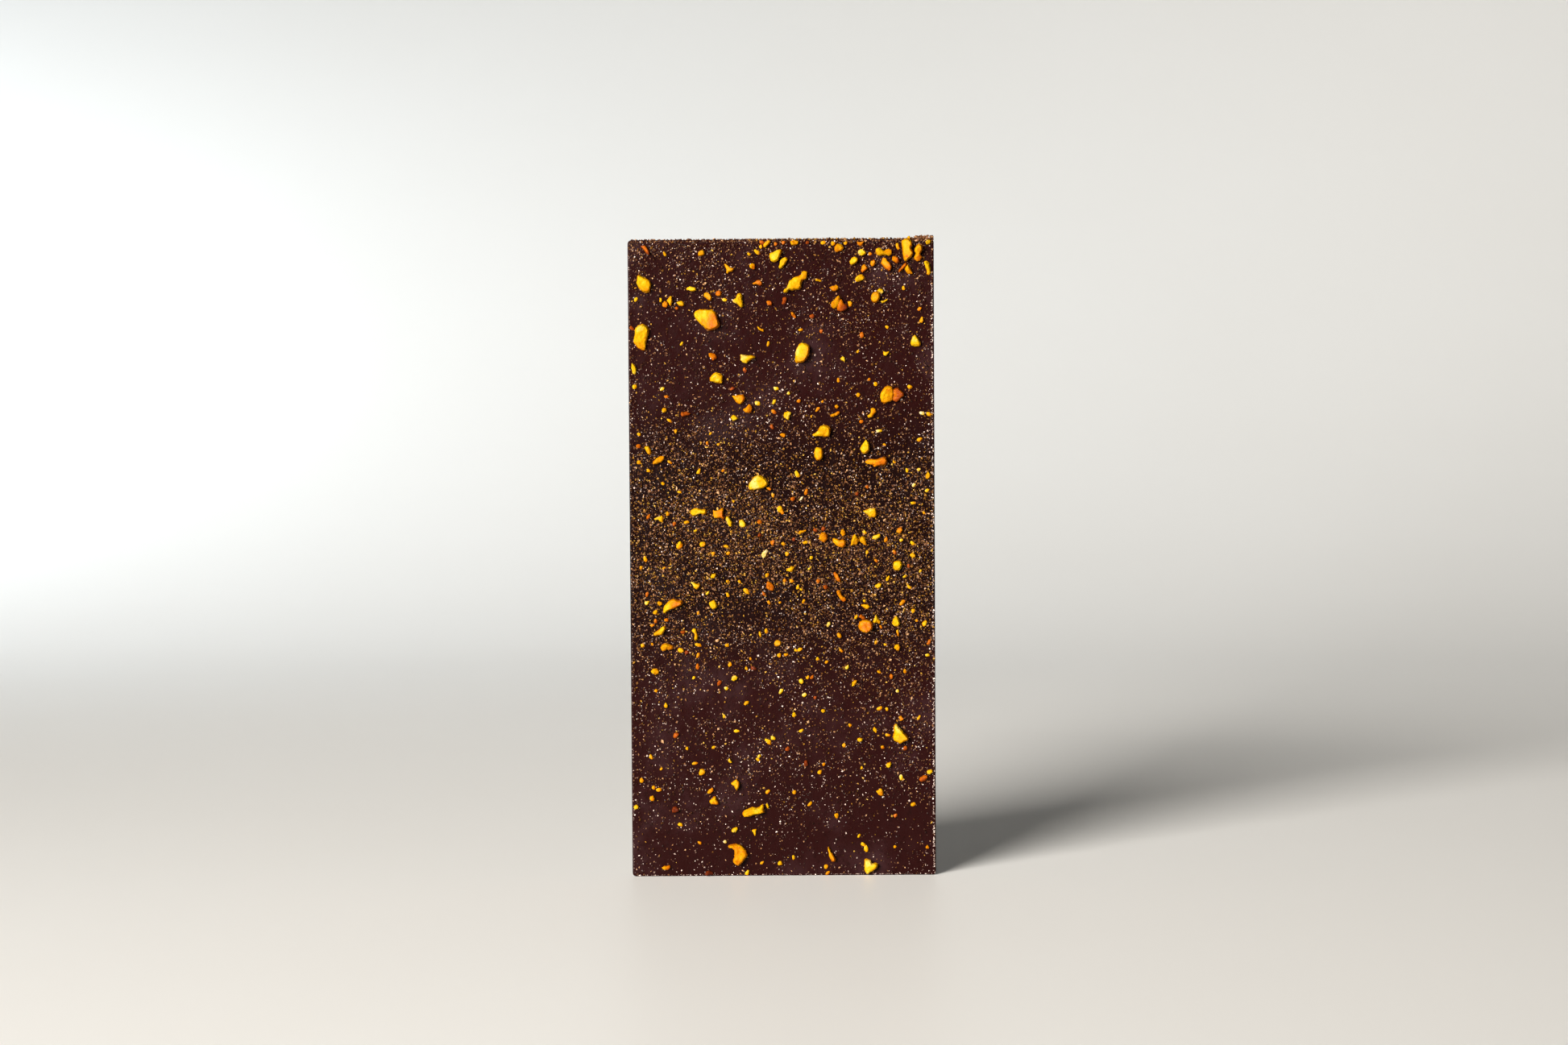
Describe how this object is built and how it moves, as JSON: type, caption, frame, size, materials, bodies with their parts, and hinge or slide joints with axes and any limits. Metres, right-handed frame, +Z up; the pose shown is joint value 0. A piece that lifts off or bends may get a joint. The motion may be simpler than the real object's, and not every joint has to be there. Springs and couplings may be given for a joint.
{
  "type": "honeycomb dark chocolate bar",
  "caption": "Flat dark chocolate tablet strewn with crushed honeycomb on its face, with snap-off tiles on its moulded back.",
  "frame": {"origin": "middle of the flat short end that the bar stands on", "axes": "+Z up along the bar's length, -Y out of the strewn face, +X to the right as seen from the strewn face"},
  "size_m": [0.0766, 0.0109, 0.161],
  "materials": {
    "dark_chocolate": "satin tempered dark chocolate",
    "honeycomb": "glossy boiled sugar, yellow to amber",
    "cocoa_dust": "dry sugar and cocoa crumbs"
  },
  "bodies": {
    "root": {"honeycomb_chocolate_bar": "dark_chocolate"}
  },
  "joints": []
}
